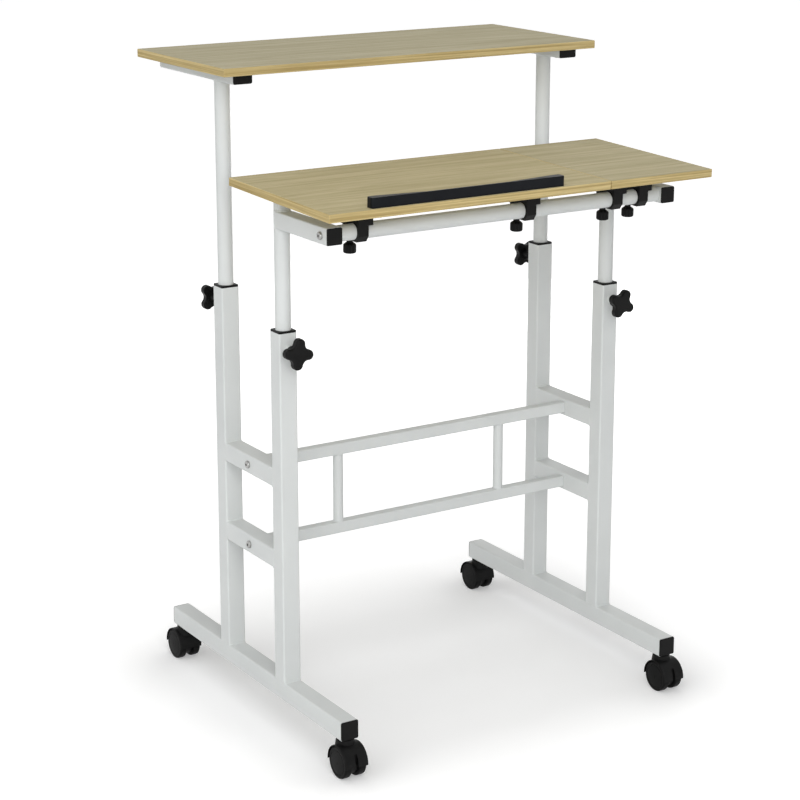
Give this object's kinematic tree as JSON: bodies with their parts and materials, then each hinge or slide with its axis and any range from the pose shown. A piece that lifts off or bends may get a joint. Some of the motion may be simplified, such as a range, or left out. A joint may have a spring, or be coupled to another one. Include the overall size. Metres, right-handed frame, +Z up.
{
  "type": "mobile standing desk",
  "caption": "Mobile standing desk: a white tube frame on twin-wheel casters, a raised rear shelf and front panels that tilt on a pivot tube, on lifts locked by star knobs.",
  "frame": {"origin": "centre of the footprint on the floor, under the middle of the boards", "axes": "+X along the boards to the user's right, +Y away from the user, +Z up"},
  "size_m": [0.8, 0.7, 1.205],
  "materials": {
    "white_paint": "satin powder coat",
    "oak_board": "matt oak laminate",
    "black_plastic": "matt",
    "black_wheel": "satin",
    "bright_steel": "zinc plated"
  },
  "bodies": {
    "base_frame": {"left_foot": "white_paint", "right_foot": "white_paint", "foot_end_caps": "black_plastic", "front_left_post": "white_paint", "front_right_post": "white_paint", "rear_left_post": "white_paint", "rear_right_post": "white_paint", "left_side_rails": "white_paint", "right_side_rails": "white_paint", "upper_crossbar": "white_paint", "lower_crossbar": "white_paint", "crossbar_struts": "white_paint", "crossbar_bolts": "bright_steel", "post_bushings": "black_plastic", "knob_bosses": "white_paint", "caster_stems": "bright_steel"},
    "rear_lift": {"rear_left_tube": "white_paint", "rear_right_tube": "white_paint", "left_shelf_bar": "white_paint", "right_shelf_bar": "white_paint", "shelf_bar_caps": "black_plastic", "upper_shelf": "oak_board", "shelf_screws": "bright_steel"},
    "front_lift": {"front_left_tube": "white_paint", "front_right_tube": "white_paint", "front_tube_plugs": "black_plastic", "left_arm": "white_paint", "right_arm": "white_paint", "arm_caps": "black_plastic", "pivot_tube": "white_paint", "pivot_bolts": "bright_steel"},
    "large_tilt": {"large_panel": "oak_board", "large_panel_clips": "black_plastic", "large_panel_screws": "bright_steel", "book_stop": "black_plastic"},
    "small_tilt": {"small_panel": "oak_board", "small_panel_clips": "black_plastic", "small_panel_screws": "bright_steel"},
    "thumb_screw_1": {"thumb_screw_1": "black_plastic"},
    "thumb_screw_2": {"thumb_screw_2": "black_plastic"},
    "thumb_screw_3": {"thumb_screw_3": "black_plastic"},
    "thumb_screw_4": {"thumb_screw_4": "black_plastic"},
    "front_left_knob": {"front_left_knob": "black_plastic"},
    "front_left_caster": {"front_left_caster_hood": "black_plastic"},
    "front_left_caster_left_wheel": {"front_left_caster_left_wheel": "black_wheel"},
    "front_left_caster_right_wheel": {"front_left_caster_right_wheel": "black_wheel"},
    "front_right_knob": {"front_right_knob": "black_plastic"},
    "front_right_caster": {"front_right_caster_hood": "black_plastic"},
    "front_right_caster_left_wheel": {"front_right_caster_left_wheel": "black_wheel"},
    "front_right_caster_right_wheel": {"front_right_caster_right_wheel": "black_wheel"},
    "rear_left_knob": {"rear_left_knob": "black_plastic"},
    "rear_left_caster": {"rear_left_caster_hood": "black_plastic"},
    "rear_left_caster_left_wheel": {"rear_left_caster_left_wheel": "black_wheel"},
    "rear_left_caster_right_wheel": {"rear_left_caster_right_wheel": "black_wheel"},
    "rear_right_knob": {"rear_right_knob": "black_plastic"},
    "rear_right_caster": {"rear_right_caster_hood": "black_plastic"},
    "rear_right_caster_left_wheel": {"rear_right_caster_left_wheel": "black_wheel"},
    "rear_right_caster_right_wheel": {"rear_right_caster_right_wheel": "black_wheel"}
  },
  "joints": [
    {"name": "rear_lift_slide", "type": "slide", "parent": "base_frame", "child": "rear_lift", "axis": [0, 0, 1], "range_m": [-0.36, 0.1]},
    {"name": "front_lift_slide", "type": "slide", "parent": "base_frame", "child": "front_lift", "axis": [0, 0, 1], "range_m": [-0.18, 0.1]},
    {"name": "large_panel_tilt", "type": "hinge", "parent": "front_lift", "child": "large_tilt", "pos_m": [0, -0.264, 0.9555], "axis": [1, 0, 0], "range_deg": [0, 60]},
    {"name": "small_panel_tilt", "type": "hinge", "parent": "front_lift", "child": "small_tilt", "pos_m": [0, -0.264, 0.9555], "axis": [1, 0, 0], "range_deg": [0, 60]},
    {"name": "thumb_screw_1_turn", "type": "hinge", "parent": "large_tilt", "child": "thumb_screw_1", "pos_m": [-0.2945, -0.23722, 0.92619], "axis": [0, 0.0262, -0.9997], "range_deg": [0, 360]},
    {"name": "thumb_screw_2_turn", "type": "hinge", "parent": "large_tilt", "child": "thumb_screw_2", "pos_m": [0.0495, -0.23722, 0.92619], "axis": [0, 0.0262, -0.9997], "range_deg": [0, 360]},
    {"name": "thumb_screw_3_turn", "type": "hinge", "parent": "small_tilt", "child": "thumb_screw_3", "pos_m": [0.2405, -0.23722, 0.92619], "axis": [0, 0.0262, -0.9997], "range_deg": [0, 360]},
    {"name": "thumb_screw_4_turn", "type": "hinge", "parent": "small_tilt", "child": "thumb_screw_4", "pos_m": [0.298, -0.23722, 0.92619], "axis": [0, 0.0262, -0.9997], "range_deg": [0, 360]},
    {"name": "front_left_knob_turn", "type": "hinge", "parent": "base_frame", "child": "front_left_knob", "pos_m": [-0.352, -0.136, 0.726], "axis": [0, -1, 0], "range_deg": [0, 360]},
    {"name": "front_left_caster_swivel", "type": "hinge", "parent": "base_frame", "child": "front_left_caster", "pos_m": [-0.352, -0.308, 0.06], "axis": [0, 0, 1], "continuous": true},
    {"name": "front_left_caster_left_wheel_roll", "type": "hinge", "parent": "front_left_caster", "child": "front_left_caster_left_wheel", "pos_m": [-0.352, -0.317, 0.029], "axis": [1, 0, 0], "continuous": true},
    {"name": "front_left_caster_right_wheel_roll", "type": "hinge", "parent": "front_left_caster", "child": "front_left_caster_right_wheel", "pos_m": [-0.352, -0.317, 0.029], "axis": [1, 0, 0], "continuous": true},
    {"name": "front_right_knob_turn", "type": "hinge", "parent": "base_frame", "child": "front_right_knob", "pos_m": [0.352, -0.136, 0.726], "axis": [0, -1, 0], "range_deg": [0, 360]},
    {"name": "front_right_caster_swivel", "type": "hinge", "parent": "base_frame", "child": "front_right_caster", "pos_m": [0.352, -0.308, 0.06], "axis": [0, 0, 1], "continuous": true},
    {"name": "front_right_caster_left_wheel_roll", "type": "hinge", "parent": "front_right_caster", "child": "front_right_caster_left_wheel", "pos_m": [0.352, -0.317, 0.029], "axis": [1, 0, 0], "continuous": true},
    {"name": "front_right_caster_right_wheel_roll", "type": "hinge", "parent": "front_right_caster", "child": "front_right_caster_right_wheel", "pos_m": [0.352, -0.317, 0.029], "axis": [1, 0, 0], "continuous": true},
    {"name": "rear_left_knob_turn", "type": "hinge", "parent": "base_frame", "child": "rear_left_knob", "pos_m": [-0.352, 0.136, 0.766], "axis": [0, 1, 0], "range_deg": [0, 360]},
    {"name": "rear_left_caster_swivel", "type": "hinge", "parent": "base_frame", "child": "rear_left_caster", "pos_m": [-0.352, 0.308, 0.06], "axis": [0, 0, 1], "continuous": true},
    {"name": "rear_left_caster_left_wheel_roll", "type": "hinge", "parent": "rear_left_caster", "child": "rear_left_caster_left_wheel", "pos_m": [-0.352, 0.317, 0.029], "axis": [1, 0, 0], "continuous": true},
    {"name": "rear_left_caster_right_wheel_roll", "type": "hinge", "parent": "rear_left_caster", "child": "rear_left_caster_right_wheel", "pos_m": [-0.352, 0.317, 0.029], "axis": [1, 0, 0], "continuous": true},
    {"name": "rear_right_knob_turn", "type": "hinge", "parent": "base_frame", "child": "rear_right_knob", "pos_m": [0.352, 0.136, 0.766], "axis": [0, 1, 0], "range_deg": [0, 360]},
    {"name": "rear_right_caster_swivel", "type": "hinge", "parent": "base_frame", "child": "rear_right_caster", "pos_m": [0.352, 0.308, 0.06], "axis": [0, 0, 1], "continuous": true},
    {"name": "rear_right_caster_left_wheel_roll", "type": "hinge", "parent": "rear_right_caster", "child": "rear_right_caster_left_wheel", "pos_m": [0.352, 0.317, 0.029], "axis": [1, 0, 0], "continuous": true},
    {"name": "rear_right_caster_right_wheel_roll", "type": "hinge", "parent": "rear_right_caster", "child": "rear_right_caster_right_wheel", "pos_m": [0.352, 0.317, 0.029], "axis": [1, 0, 0], "continuous": true}
  ]
}
